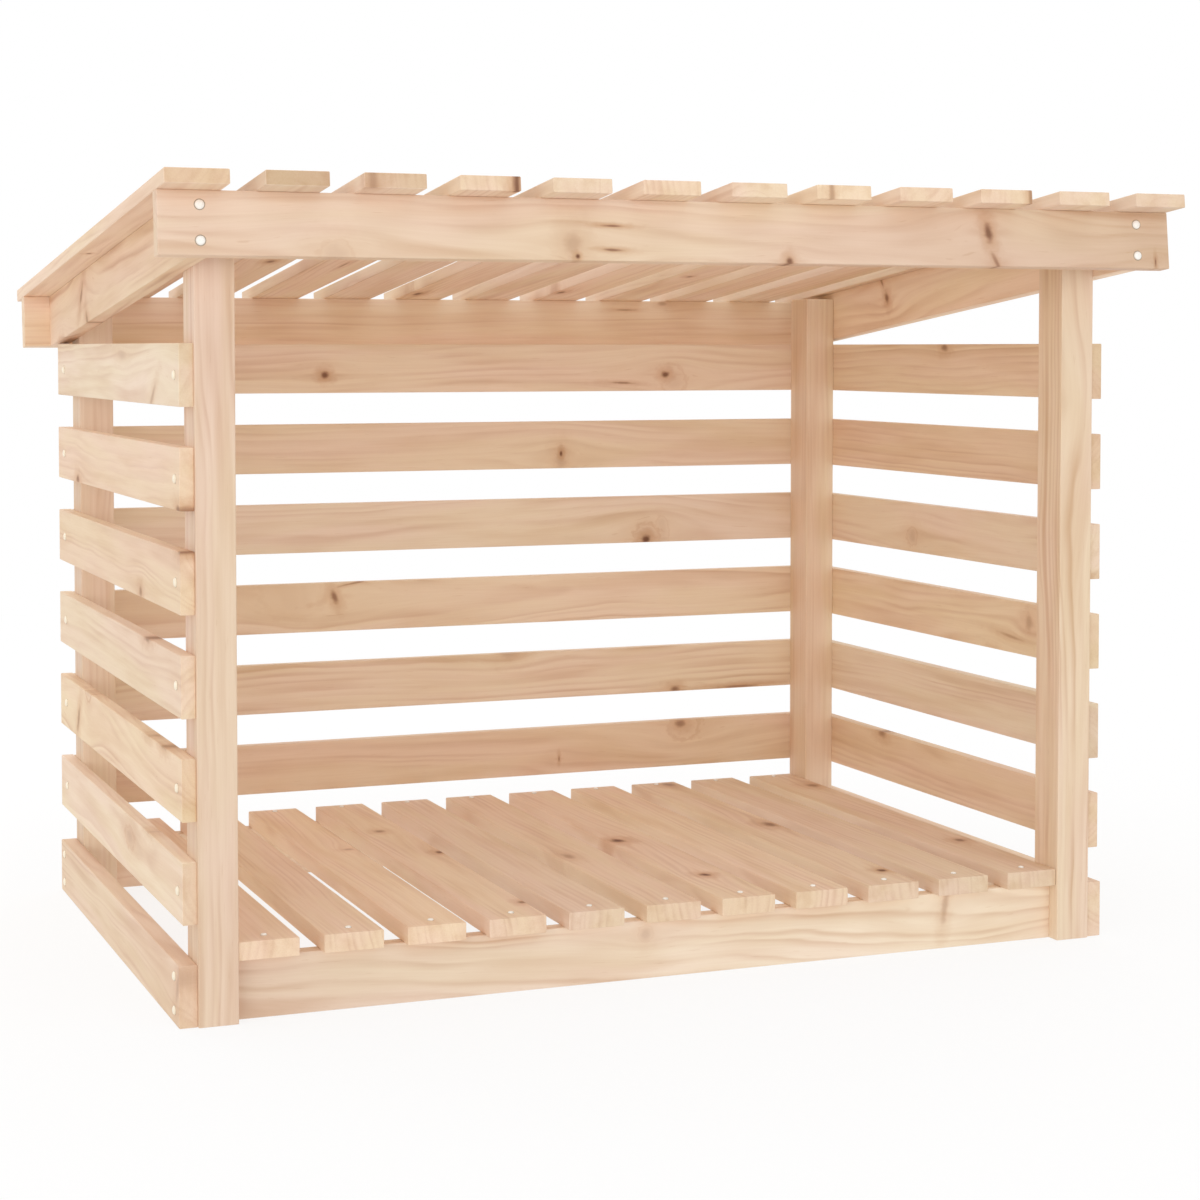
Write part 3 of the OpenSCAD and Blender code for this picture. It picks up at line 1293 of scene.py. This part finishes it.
# What plain figures are drawn from, with knots in millimetres
LOOSE_CUTS = (Cut.FLAT, Cut.FLAT, Cut.RIFT, Cut.HEART, Cut.QUARTER)
LOOSE_HANDS = (-1, 1)
LOOSE_SHADES = (0.95, 1.03)
LOOSE_WARMTHS = (-0.02, 0.02)
LOOSE_BOLD = 0.8
LOOSE_KNOT_COUNTS = (0, 1, 1, 2)
LOOSE_KNOT_ALONG = (-330, 330)
LOOSE_KNOT_ACROSS = (-24, 24)
LOOSE_KNOT_RADII = (2.5, 5.5)


def loose_grains(label: str, count: int) -> list[Grain]:
    """Draws plain figures for a row of boards.

    Args:
        label: What the boards are, as the draw's seed.
        count: Number of boards.

    Returns:
        One figure for each board.
    """
    draw = random.Random(label)
    found = []
    for _ in range(count):
        shade = draw.uniform(*LOOSE_SHADES)
        warmth = draw.uniform(*LOOSE_WARMTHS)
        knots = []
        for _ in range(draw.choice(LOOSE_KNOT_COUNTS)):
            along = draw.uniform(*LOOSE_KNOT_ALONG)
            across = draw.uniform(*LOOSE_KNOT_ACROSS)
            knots.append(Knot(along, across, draw.uniform(*LOOSE_KNOT_RADII)))
        cut = draw.choice(LOOSE_CUTS)
        hand = (draw.choice(LOOSE_HANDS), draw.choice(LOOSE_HANDS))
        tint = (shade, shade - warmth / 2, shade - warmth)
        found.append(Grain(cut, hand, tint, tuple(knots), bold=LOOSE_BOLD))
    return found


@dataclass
class Posts:
    """The four square posts."""

    width: float = 39 * MM
    depth: float = 47 * MM

    def grains(self) -> dict[str, Grain]:
        """Gives each post's figure.

        Returns:
            The figures by their nodes' names.
        """
        # Where a post has a fade, it is painted light and shade: lighter towards its top
        return {
            "front_left_post": Grain(
                Cut.RIFT, hand=(-1, 1), tint=(0.95, 0.93, 0.94), bold=1.1, fade=(1.0, 1.05)
            ),
            "front_right_post": Grain(
                Cut.RIFT, hand=(-1, 1), tint=(0.97, 0.97, 0.95), ring=5.4, bold=1.05
            ).knotted(Knot(205, -24, 27, stretch=1.2, shade=0.0)),
            "rear_left_post": Grain(Cut.RIFT, hand=(1, -1), tint=(0.94, 0.96, 0.96), bold=0.8),
            "rear_right_post": Grain(
                Cut.RIFT, hand=(-1, -1), tint=(0.95, 0.94, 0.9), bold=0.5, fade=(0.99, 1.04)
            ),
        }

    def build(self, shop: Workshop) -> None:
        """Makes the posts.

        Args:
            shop: The trees and finishes.
        """
        section = (self.width, self.depth)
        for node, grain in self.grains().items():
            shop.grow(f"{node}_pine", [node], Lay.UPRIGHT, Slot.FRAME, section, [grain])


@dataclass
class BaseFrame:
    """The four base rails on edge, with two caps in each end of the side rails."""

    width: float = BOARD_WIDTH
    thickness: float = RAIL_THICKNESS
    cap_spread: float = 33 * MM

    def build(self, shop: Workshop) -> None:
        """Makes the rails and caps.

        Args:
            shop: The trees and finishes.
        """
        section = (self.width, self.thickness)
        crossing = {
            # The front rail's fade is painted shade at its left end and painted light at its right end
            "front_base_rail": Grain(
                Cut.RIFT,
                hand=(-1, 1),
                tint=(1.045, 1.085, 1.12),
                bold=1.15,
                wave=1.7,
                fade=(0.86, 1.04),
            ).knotted(
                Knot(-26, 16, 9, stretch=0.9, shade=0.25, rim=0.3),
                Knot(323, 17, 26, stretch=0.2, lean=0.12, shade=0.4),
                Knot(-470, -36, 30, stretch=1.0, shade=0.0),
                Knot(-425, 6, 9, stretch=1.4, shade=0.0),
            ),
            "rear_base_rail": Grain(Cut.FLAT, hand=(1, -1)).knotted(Knot(190, -8, 6)),
        }
        for node, grain in crossing.items():
            shop.grow(f"{node}_pine", [node], Lay.ACROSS_ON_EDGE, Slot.FRAME, section, [grain])
        running = {
            Side.LEFT: Grain(Cut.RIFT, hand=(-1, -1), tint=(0.99, 0.97, 0.95)).knotted(
                Knot(-324, 12, 22, stretch=0.4, lean=-0.4, shade=0.35)
            ),
            Side.RIGHT: Grain(Cut.RIFT, hand=(1, 1)).knotted(Knot(60, -14, 5)),
        }
        for side, grain in running.items():
            node = f"{side.word()}_base_rail"
            shop.grow(f"{node}_pine", [node], Lay.BACKWARD_ON_EDGE, Slot.FRAME, section, [grain])
            self.fasten(shop, side, node)

    def fasten(self, shop: Workshop, side: Side, node: str) -> None:
        """Sets the caps in a side rail's ends, over the posts.

        Args:
            shop: The trees and finishes.
            side: The side of the store.
            node: The rail's CAD node.
        """
        front = middle(f"front_{side.word()}_post").y
        rear = middle(f"rear_{side.word()}_post").y
        face = middle(node) + side.outward() * (self.thickness / 2)
        first = Vector((face.x, front, face.z - self.cap_spread / 2))
        shop.fasten(
            f"{node}_caps",
            first,
            (PAIR, Vector((0.0, rear - front, 0.0))),
            (PAIR, Vector((0.0, 0.0, self.cap_spread))),
            side.outward(),
            WALL_CAP,
        )


@dataclass
class SideWall:
    """Six slats on the outer faces of one side's posts."""

    side: Side
    grains: Sequence[Grain]
    width: float = BOARD_WIDTH
    thickness: float = SLAT_THICKNESS

    def build(self, shop: Workshop) -> None:
        """Makes the slats and their caps.

        Args:
            shop: The trees and finishes.
        """
        word = self.side.word()
        nodes = [f"{word}_wall_slat_{row + 1}" for row in range(len(self.grains))]
        shop.grow(
            f"{word}_wall_slats",
            nodes,
            Lay.BACKWARD_ON_EDGE,
            Slot.SLATS,
            (self.width, self.thickness),
            self.grains,
        )
        front = middle(f"front_{word}_post").y
        rear = middle(f"rear_{word}_post").y
        top = middle(nodes[0])
        drop = middle(nodes[1]) - top
        face = top + self.side.outward() * (self.thickness / 2)
        shop.fasten(
            f"{word}_wall_caps",
            Vector((face.x, front, face.z)),
            (PAIR, Vector((0.0, rear - front, 0.0))),
            (len(nodes), drop),
            self.side.outward(),
            WALL_CAP,
        )


@dataclass
class BackWall:
    """Six slats on the rear faces of the rear posts."""

    grains: Sequence[Grain]
    width: float = BOARD_WIDTH
    thickness: float = SLAT_THICKNESS

    def build(self, shop: Workshop) -> None:
        """Makes the slats and their caps.

        Args:
            shop: The trees and finishes.
        """
        nodes = [f"back_wall_slat_{row + 1}" for row in range(len(self.grains))]
        shop.grow(
            "back_wall_slats",
            nodes,
            Lay.ACROSS_ON_EDGE,
            Slot.SLATS,
            (self.width, self.thickness),
            self.grains,
        )
        left = middle("rear_left_post").x
        right = middle("rear_right_post").x
        top = middle(nodes[0])
        drop = middle(nodes[1]) - top
        shop.fasten(
            "back_wall_caps",
            Vector((left, top.y + self.thickness / 2, top.z)),
            (PAIR, Vector((right - left, 0.0, 0.0))),
            (len(nodes), drop),
            Vector((0.0, 1.0, 0.0)),
            WALL_CAP,
        )


@dataclass
class SlattedFloor:
    """Eleven slats laid front to back on the cross rails."""

    grains: Sequence[Grain]
    width: float = BOARD_WIDTH
    thickness: float = RAIL_THICKNESS
    rear_cap_inset: float = 6.0 * MM

    def build(self, shop: Workshop) -> None:
        """Makes the slats and their caps.

        Args:
            shop: The trees and finishes.
        """
        low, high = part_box("floor_slats")
        centre = (low + high) / 2
        count = len(self.grains)
        step = Vector(((high.x - low.x - self.width) / (count - 1), 0.0, 0.0))
        first = Vector((low.x + self.width / 2, centre.y, centre.z))
        shop.grow(
            "floor_slats_pine",
            ["floor_slats"],
            Lay.BACKWARD_FLAT,
            Slot.FLOOR,
            (self.width, self.thickness),
            self.grains,
            first,
            step,
            high.y - low.y,
        )
        front = middle("front_base_rail").y
        rear = middle("rear_base_rail").y - self.rear_cap_inset
        shop.fasten(
            "floor_caps",
            Vector((first.x, front, high.z)),
            (count, step),
            (PAIR, Vector((0.0, rear - front, 0.0))),
            Vector((0.0, 0.0, 1.0)),
            FLOOR_CAP,
        )


@dataclass
class RoofFrame:
    """Two rafters and the two beams across their ends."""

    width: float = BOARD_WIDTH
    thickness: float = RAIL_THICKNESS
    cap_spread: float = 33 * MM

    def build(self, shop: Workshop) -> None:
        """Makes the rafters, the beams and the beams' caps.

        Args:
            shop: The trees and finishes.
        """
        section = (self.width, self.thickness)
        rafters = {
            "left_rafter": Grain(Cut.FLAT, hand=(1, -1), tint=(1.01, 0.98, 0.94), bold=1.4).knotted(
                Knot(166, 4, 15, stretch=0.6, lean=-0.8, shade=0.6),
                Knot(134, -16, 13, stretch=0.6, lean=0.5, shade=0.55),
                Knot(304, -30, 6, stretch=2.6, shade=0.8),
            ),
            "right_rafter": Grain(Cut.FLAT, hand=(-1, 1), tint=(1.07, 1.08, 1.04), bold=0.9).knotted(
                Knot(138, 5, 9, stretch=0.7, lean=0.2, shade=0.8),
                Knot(150, 20, 11, stretch=0.35, lean=0.5, shade=0.6),
            ),
        }
        for node, grain in rafters.items():
            shop.grow(f"{node}_pine", [node], Lay.DOWN_ROOF_ON_EDGE, Slot.FRAME, section, [grain])
        beams = {
            # The front beam's fade is painted shade towards its right end
            "front_roof_beam": Grain(
                Cut.RIFT,
                hand=(-1, -1),
                tint=(0.97, 0.96, 0.96),
                ring=9.0,
                bold=1.1,
                wave=1.3,
                fade=(1.01, 0.85),
            ).knotted(
                Knot(-134, -26, 3.6, stretch=1.0, shade=0.95),
                Knot(-97, 3, 1.6, stretch=9.0, shade=0.75),
                Knot(-98, -20, 1.7, stretch=8.0, shade=0.75),
                Knot(-374, -30, 16, stretch=1.05, shade=0.2, rim=0.32),
                Knot(-138, -17, 13, stretch=0.85, shade=0.32, rim=0.25),
                Knot(92, -27, 5.0, stretch=1.0, shade=0.85),
                Knot(321, 4, 12, stretch=0.5, lean=-0.2, shade=0.82),
                Knot(330, -17, 15, stretch=0.24, lean=-0.5, shade=0.6),
                Knot(523, -21, 5, stretch=0.3, shade=0.7),
            ),
            "rear_roof_beam": Grain(Cut.RIFT, hand=(1, 1), tint=(1.05, 1.05, 1.05), bold=0.8).knotted(
                Knot(236, 18, 1.5, stretch=12.0, shade=0.5),
                Knot(290, 27, 4, stretch=2.2, shade=0.5),
            ),
        }
        for node, grain in beams.items():
            shop.grow(f"{node}_pine", [node], Lay.ACROSS_ROOF_ON_EDGE, Slot.FRAME, section, [grain])
            self.fasten(shop, node)

    def fasten(self, shop: Workshop, node: str) -> None:
        """Sets the caps in a beam's ends, over the rafters.

        Args:
            shop: The trees and finishes.
            node: The beam's CAD node.
        """
        rise, forward, _ = Lay.ACROSS_ROOF_ON_EDGE.axes()
        out = forward if node.startswith("front") else -forward
        left = middle("left_rafter").x
        right = middle("right_rafter").x
        centre = middle(node)
        face = Vector((left, centre.y, centre.z)) + out * (self.thickness / 2)
        shop.fasten(
            f"{node}_caps",
            face - rise * (self.cap_spread / 2),
            (PAIR, Vector((right - left, 0.0, 0.0))),
            (PAIR, rise * self.cap_spread),
            out,
            BEAM_CAP,
        )


@dataclass
class RoofCover:
    """Twelve slats laid down the slope over both beams."""

    grains: Sequence[Grain]
    width: float = BOARD_WIDTH
    thickness: float = SLAT_THICKNESS

    def build(self, shop: Workshop) -> None:
        """Makes the slats and their caps.

        Args:
            shop: The trees and finishes.
        """
        count = len(self.grains)
        nodes = [f"roof_slat_{column + 1}" for column in range(count)]
        shop.grow(
            "roof_slats",
            nodes,
            Lay.DOWN_ROOF_FLAT,
            Slot.SLATS,
            (self.width, self.thickness),
            self.grains,
        )
        rise, _, _ = Lay.ACROSS_ROOF_ON_EDGE.axes()
        first = middle(nodes[0])
        step = (middle(nodes[-1]) - first) / (count - 1)
        lift = BOARD_WIDTH / 2 + self.thickness
        front = middle("front_roof_beam") + rise * lift
        rear = middle("rear_roof_beam") + rise * lift
        shop.fasten(
            "roof_caps",
            Vector((first.x, front.y, front.z)),
            (count, step),
            (PAIR, rear - front),
            rise,
            WALL_CAP,
        )


@dataclass(frozen=True)
class Lamp:
    """A wide, soft lamp far away: its strength, its spread and where it stands."""

    name: str
    strength: float
    stands: tuple[float, float, float]
    spread: float

    def build(self) -> None:
        """Makes the lamp."""
        light = bpy.data.lights.new(self.name, "SUN")
        light.energy = self.strength
        light.angle = self.spread
        lamp = bpy.data.objects.new(self.name, light)
        lamp.rotation_mode = "QUATERNION"
        lamp.rotation_quaternion = Vector(self.stands).to_track_quat("Z", "Y")
        bpy.context.scene.collection.objects.link(lamp)


@dataclass
class Studio:
    """A pale floor, soft light and the photograph's viewing angle."""

    floor_reach: float = 9.0
    floor_drop: float = 0.3 * MM
    floor_fade: tuple[float, float] = (1.6, 3.4)
    floor_glow: float = 0.8
    floor_light: float = 0.86
    ambient: float = 0.52
    lamps: tuple[Lamp, ...] = (
        Lamp("front_lamp", 0.27, (-0.3, -0.95, 0.03), math.radians(30.0)),
        Lamp("front_right_lamp", 0.38, (0.3, -0.95, 0.12), math.radians(30.0)),
        Lamp("front_left_lamp", 0.45, (-0.7, -0.7, 0.15), math.radians(30.0)),
        Lamp("left_lamp", 0.35, (-0.93, -0.2, 0.25), math.radians(60.0)),
        Lamp("rear_lamp", 0.5, (0.1, 0.85, 0.5), math.radians(80.0)),
        Lamp("overhead_lamp", 1.1, (0.0, 0.0, 1.0), math.radians(90.0)),
    )
    lens: float = 74.442
    sensor: float = 36.0
    shift_y: float = -0.12
    yaw: float = math.radians(21.722)
    pitch: float = math.radians(2.482)
    eye: tuple[float, float, float] = (-1.0001, -2.6367, 0.6443)

    def build(self) -> None:
        """Makes the floor, the light and the camera."""
        self.lay_floor()
        self.light()
        self.set_camera()

    def lay_floor(self) -> None:
        """Lays the floor, which looks white and keeps the store's shadow."""
        reach = self.floor_reach
        corners = ((-reach, -reach), (reach, -reach), (reach, reach), (-reach, reach))
        mesh = bpy.data.meshes.new("studio_floor")
        mesh.from_pydata([(x, y, -self.floor_drop) for x, y in corners], [], [(0, 1, 2, 3)])
        floor = bpy.data.objects.new("studio_floor", mesh)
        bpy.context.scene.collection.objects.link(floor)
        made = bpy.data.materials.new("studio_white")
        made.use_nodes = True
        net = Net(made.node_tree)
        place = net.node("ShaderNodeTexCoord").outputs["Object"]
        out = net.length(place)
        fade = net.ramp(out, *self.floor_fade, self.floor_glow, 1.0)
        seen = self.seen(net)
        lit = net.node("ShaderNodeEmission", {"Color": WHITE, "Strength": self.floor_light}).outputs[0]
        glow = net.node("ShaderNodeEmission", {"Color": WHITE, "Strength": 1.0}).outputs[0]
        bright = net.node("ShaderNodeBsdfDiffuse", {"Color": WHITE}).outputs[0]
        shown = net.node("ShaderNodeMixShader", {0: fade, 1: bright, 2: glow}).outputs[0]
        both = net.node("ShaderNodeMixShader", {0: seen, 1: lit, 2: shown}).outputs[0]
        net.node("ShaderNodeOutputMaterial", {"Surface": both})
        mesh.materials.append(made)

    def seen(self, net: Net) -> Socket:
        """Tells a ray that shows the background from one that lights the store.

        Args:
            net: The nodes that need it.

        Returns:
            1 for a ray that shows the background, otherwise 0.
        """
        path = net.node("ShaderNodeLightPath").outputs
        sharp = net.math("MAXIMUM", path["Is Glossy Ray"], path["Is Transmission Ray"])
        return net.math("MAXIMUM", path["Is Camera Ray"], sharp)

    def light(self) -> None:
        """Sets the soft world and the lamps."""
        world = bpy.data.worlds.new("studio_light")
        bpy.context.scene.world = world
        world.use_nodes = True
        net = Net(world.node_tree)
        seen = self.seen(net)
        strength = net.math("MULTIPLY_ADD", seen, 1.0 - self.ambient, self.ambient)
        sky = net.node("ShaderNodeBackground", {"Color": WHITE, "Strength": strength})
        net.node("ShaderNodeOutputWorld", {0: sky.outputs[0]})
        for lamp in self.lamps:
            lamp.build()

    def set_camera(self) -> None:
        """Sets the camera at the photograph's viewing angle."""
        data = bpy.data.cameras.new("front_left_view")
        data.lens = self.lens
        data.sensor_width = self.sensor
        data.shift_y = self.shift_y
        camera = bpy.data.objects.new("front_left_view", data)
        camera.location = self.eye
        camera.rotation_euler = (math.pi / 2 - self.pitch, 0.0, -self.yaw)
        bpy.context.scene.collection.objects.link(camera)
        bpy.context.scene.camera = camera
        bpy.context.scene.view_settings.view_transform = "Standard"


def left_wall_grains() -> list[Grain]:
    """Gives the left wall's figures.

    Returns:
        The figures, from the top slat down.
    """
    return [
        Grain(Cut.RIFT, hand=(-1, 1), tint=(1.04, 1.09, 1.11), wave=1.1, dim=0.3).knotted(
            Knot(-216, -22, 16, stretch=0.5, lean=-1.1, shade=0.4, rim=0.3),
            Knot(-60, 14, 6, stretch=4.0, lean=0.9, shade=0.25),
        ),
        Grain(Cut.RIFT, hand=(1, 1), tint=(1.03, 1.01, 0.99), bold=0.65, wave=1.4).knotted(
            Knot(209, -26, 6, stretch=2.4),
            Knot(-331, -29, 6, stretch=2.4, shade=0.75),
        ),
        Grain(Cut.RIFT, hand=(1, 1), tint=(1.01, 0.99, 0.95), bold=0.85).knotted(
            Knot(-149, -24, 7, stretch=1.4, shade=0.6),
            Knot(-338, 30, 5, stretch=3.0, shade=0.75),
        ),
        Grain(Cut.RIFT, hand=(-1, 1), tint=(1.02, 1.03, 1.02), bold=0.9).knotted(
            Knot(-179, 31, 6, stretch=3.4, shade=0.7)
        ),
        Grain(Cut.FLAT, hand=(1, 1), tint=(1.04, 1.04, 0.97), bold=1.2, wave=1.4, dim=0.35).knotted(
            Knot(218, -8, 22, stretch=0.42, lean=-0.5, shade=0.55),
            Knot(160, 14, 10, stretch=1.8, lean=0.4, shade=0.2, rim=0.7),
            Knot(-254, 31, 6, stretch=3.0, shade=0.7),
            Knot(-179, 31, 5, stretch=3.4, shade=0.6),
        ),
        Grain(Cut.HEART, hand=(1, 1), tint=(1.06, 1.09, 1.09), bold=0.75, dim=0.45).knotted(
            Knot(-81, 8, 11, stretch=2.2, shade=0.25, rim=0.5),
            Knot(-172, 31, 6, stretch=3.4, shade=0.6),
        ),
    ]


def right_wall_grains() -> list[Grain]:
    """Gives the right wall's figures.

    Returns:
        The figures, from the top slat down.
    """
    return [
        Grain(Cut.RIFT, hand=(-1, -1), tint=(1.0, 1.01, 0.98), dim=0.5).knotted(
            Knot(-20, 26, 5.5, stretch=1.8, shade=0.7)
        ),
        # This slat's fade is painted shade towards its front end and painted light towards its rear
        # end
        Grain(Cut.RIFT, hand=(1, -1), tint=(0.97, 0.95, 0.91), bold=0.9, fade=(0.94, 1.05)),
        Grain(Cut.FLAT, hand=(1, -1), tint=(0.98, 1.01, 1.02), bold=0.9).knotted(
            Knot(57, -11, 11, stretch=1.2, shade=0.25, rim=0.45),
            Knot(-344, -29, 4, shade=0.7),
        ),
        Grain(Cut.FLAT, hand=(-1, -1), tint=(1.01, 1.04, 1.0), bold=0.85, wave=1.4, dim=0.4).knotted(
            Knot(-216, 8, 11, stretch=0.9, shade=0.42, rim=0.4),
            Knot(-178, -4, 2.4, stretch=14.0, lean=0.2, shade=0.45),
            Knot(-136, -30, 6, stretch=2.0, shade=0.6),
        ),
        Grain(Cut.RIFT, hand=(-1, -1), tint=(0.98, 1.04, 1.07), bold=0.85, dim=0.5),
        Grain(Cut.FLAT, hand=(1, -1), tint=(0.96, 0.94, 0.9), bold=0.8).knotted(
            Knot(133, 28, 7, stretch=1.8, shade=0.6, rim=0.3)
        ),
    ]


def back_wall_grains() -> list[Grain]:
    """Gives the back wall's figures.

    Returns:
        The figures, from the top slat down.
    """
    return [
        Grain(Cut.RIFT, hand=(1, 1), tint=(1.03, 1.05, 1.07), bold=0.9).knotted(
            Knot(-184, -8, 5.5, stretch=1.2, shade=0.9, rim=0.3),
            Knot(272, -9, 5.5, stretch=1.3, shade=0.9, rim=0.3),
            Knot(212, -18, 1.8, stretch=12.0, shade=0.65),
            Knot(284, -15, 14, stretch=1.2, shade=0.12, rim=0.35),
        ),
        Grain(Cut.RIFT, hand=(-1, 1), tint=(0.97, 0.98, 0.97), bold=0.65).knotted(
            Knot(127, -11, 5.5, stretch=0.6, shade=0.95),
            Knot(127, -17, 14, stretch=0.7, shade=0.3, rim=0.3),
        ),
        Grain(Cut.FLAT, hand=(-1, 1), tint=(0.98, 1.03, 1.06), bold=0.75).knotted(
            Knot(245, -26, 7.5, stretch=1.2, shade=0.95),
            Knot(246, -25, 13, stretch=1.3, shade=0.2, rim=0.55),
            Knot(268, -22, 10, stretch=0.9, shade=0.12, rim=0.3),
        ),
        Grain(Cut.HEART, hand=(1, 1), tint=(1.0, 1.03, 1.03), bold=1.1, wave=1.6).knotted(
            Knot(-173, 13, 11, stretch=0.5, lean=-0.3, shade=0.75),
            Knot(-144, 21.5, 6.5, stretch=0.8, lean=4.5, shade=0.6),
            Knot(-228, 20, 25, stretch=1.6, shade=0.06, rim=0.12),
            Knot(-290, -34, 15, stretch=1.6, shade=0.2, rim=0.2),
        ),
        Grain(Cut.RIFT, hand=(1, 1), tint=(0.99, 1.03, 1.04), bold=1.35).knotted(
            Knot(286, -27, 5.5, stretch=1.6, shade=0.75),
            Knot(378, -28, 2.2, stretch=16.0, shade=0.65),
            Knot(55, 31, 10, stretch=1.6, shade=0.3, rim=0.3),
        ),
        Grain(Cut.FLAT, hand=(-1, 1), tint=(0.94, 0.92, 0.9), bold=0.6).knotted(
            Knot(294, 25, 6.5, stretch=1.4, shade=0.65, rim=0.4),
            Knot(124, -10, 5, stretch=0.3, shade=0.65),
            Knot(300, 24, 16, stretch=1.3, shade=0.05, rim=0.4),
        ),
    ]


def floor_grains() -> list[Grain]:
    """Gives the floor's figures.

    Returns:
        The figures, from the left slat to the right.
    """
    found = loose_grains("floor slats", FLOOR_SLAT_COUNT)
    knots = {
        2: (Knot(60, 20, 8, stretch=0.8, shade=0.4),),
        3: (
            Knot(7, 26, 6, stretch=1.6, shade=0.9),
            Knot(148, -1, 8, shade=0.6),
            Knot(-265, 26, 6, stretch=1.4),
        ),
        5: (Knot(-67, -16, 8, stretch=2.2, shade=0.5),),
        6: (
            Knot(-7, -16, 11, stretch=1.2, shade=0.95),
            Knot(-213, 1, 7.5, stretch=1.2, shade=0.95),
        ),
        8: (
            Knot(17, 20, 11, stretch=1.6),
            Knot(-264, 20, 7.5, stretch=1.2, shade=0.95),
            Knot(309, 15, 10, stretch=1.6, shade=0.6),
        ),
        10: (Knot(-150, 13, 8, stretch=1.4), Knot(235, 17, 11, stretch=1.4, shade=0.65)),
    }
    pale = {1: 1.11, 2: 1.11, 5: 0.99, 7: 1.07, 8: 1.0}
    leftmost = 1.09
    darker_each = 0.014
    grains = []
    for place, plain in enumerate(found):
        grain = plain.lighter(pale.get(place, leftmost - darker_each * place))
        own = knots.get(place, ())
        # Every floor slat's fade is painted shade towards the front and painted light towards the rear
        grains.append(replace(grain, cut=Cut.QUARTER, knots=own, fade=(0.96, 1.05)))
    return grains


def roof_grains() -> list[Grain]:
    """Gives the roof slats' figures.

    Returns:
        The figures, from the left slat to the right.
    """
    grains = loose_grains("roof slats", ROOF_SLAT_COUNT)
    knots = {
        2: (Knot(-435, -22, 6, shade=0.4, rim=0.4), Knot(60, 5, 7, stretch=2.0)),
        3: (Knot(-433, 26, 5.5, shade=0.9), Knot(80, 2, 2, stretch=14.0, shade=0.6)),
        5: (Knot(330, -18, 7, stretch=2.4, shade=0.9),),
        7: (Knot(303, -22, 6, stretch=2.4, shade=0.8), Knot(-434, -14, 4, shade=0.5)),
        9: (Knot(-433, 28, 4, shade=0.6),),
    }
    dims = {0: 0.6, 1: 1.0, 2: 0.7}
    pale = {0: 1.04, 3: 1.04, 4: 1.03, 5: 1.08, 6: 1.08, 7: 1.08, 8: 1.06, 9: 1.05, 10: 1.05}
    for place, plain in enumerate(grains):
        grains[place] = replace(plain.lighter(pale.get(place, 1.0)), dim=dims.get(place, 0.0))
    for place, own in knots.items():
        grains[place] = replace(grains[place], cut=Cut.QUARTER, knots=own, bold=1.0)
    return grains


def main() -> None:
    """Builds the store's sub-assemblies in order and sets them in the studio."""
    logging.basicConfig(level=logging.INFO, format="%(name)s: %(message)s")
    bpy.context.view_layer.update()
    shop = Workshop()
    Posts().build(shop)
    BaseFrame().build(shop)
    SideWall(Side.LEFT, left_wall_grains()).build(shop)
    SideWall(Side.RIGHT, right_wall_grains()).build(shop)
    BackWall(back_wall_grains()).build(shop)
    SlattedFloor(floor_grains()).build(shop)
    RoofFrame().build(shop)
    RoofCover(roof_grains()).build(shop)
    Studio().build()


if __name__ == "__main__":
    main()
